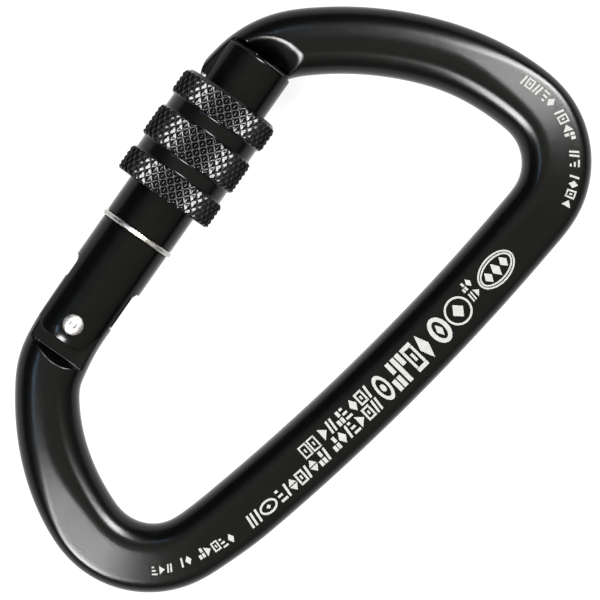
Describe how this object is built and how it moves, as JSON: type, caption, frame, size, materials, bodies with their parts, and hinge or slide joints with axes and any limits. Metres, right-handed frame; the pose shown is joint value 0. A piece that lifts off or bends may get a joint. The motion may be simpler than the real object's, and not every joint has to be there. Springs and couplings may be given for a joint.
{
  "type": "locking carabiner",
  "caption": "Large D-shaped aluminium carabiner with a spring-loaded gate and a knurled screw-lock sleeve.",
  "frame": {"origin": "middle of the whole object's box, on the mid-plane of the bar", "axes": "+X along the spine towards the nose end, +Y from the spine towards the gate, +Z through the thickness"},
  "size_m": [0.1146, 0.0666, 0.0184],
  "materials": {
    "satin_black_anodised": "fine blasted, satin black anodised",
    "turned_black_anodised": "turned smooth, black anodised",
    "knurled_black_anodised": "diamond knurled bands, plain grooves, black anodised",
    "bright_steel": "bright stainless",
    "pusher_steel": "turned stainless",
    "spring_steel": "drawn spring wire"
  },
  "bodies": {
    "frame": {"body": "satin_black_anodised"},
    "gate": {"gate": "turned_black_anodised", "hinge_rivet": "bright_steel", "stop_ring": "bright_steel", "gate_spring": "spring_steel"},
    "sleeve": {"locking_sleeve": "knurled_black_anodised"},
    "pusher": {"spring_pusher": "pusher_steel"}
  },
  "joints": [
    {"name": "gate_hinge", "type": "hinge", "parent": "frame", "child": "gate", "pos_m": [-0.02928, 0.01532, 0], "axis": [0, 0, -1], "range_deg": [0, 35], "stiffness_Nm_per_rad": 0.5, "springref_deg": -45.84},
    {"name": "sleeve_slide", "type": "slide", "parent": "gate", "child": "sleeve", "axis": [0.9816, 0.1908, 0], "range_m": [-0.0064, 0.0065]},
    {"name": "pusher_slide", "type": "slide", "parent": "gate", "child": "pusher", "axis": [0.9816, 0.1908, 0], "range_m": [0, 0.0016], "deforming": ["gate_spring"]}
  ],
  "couplings": [
    {"joint": "pusher_slide", "follows": "gate_hinge", "m_per_rad": 0.0025}
  ]
}
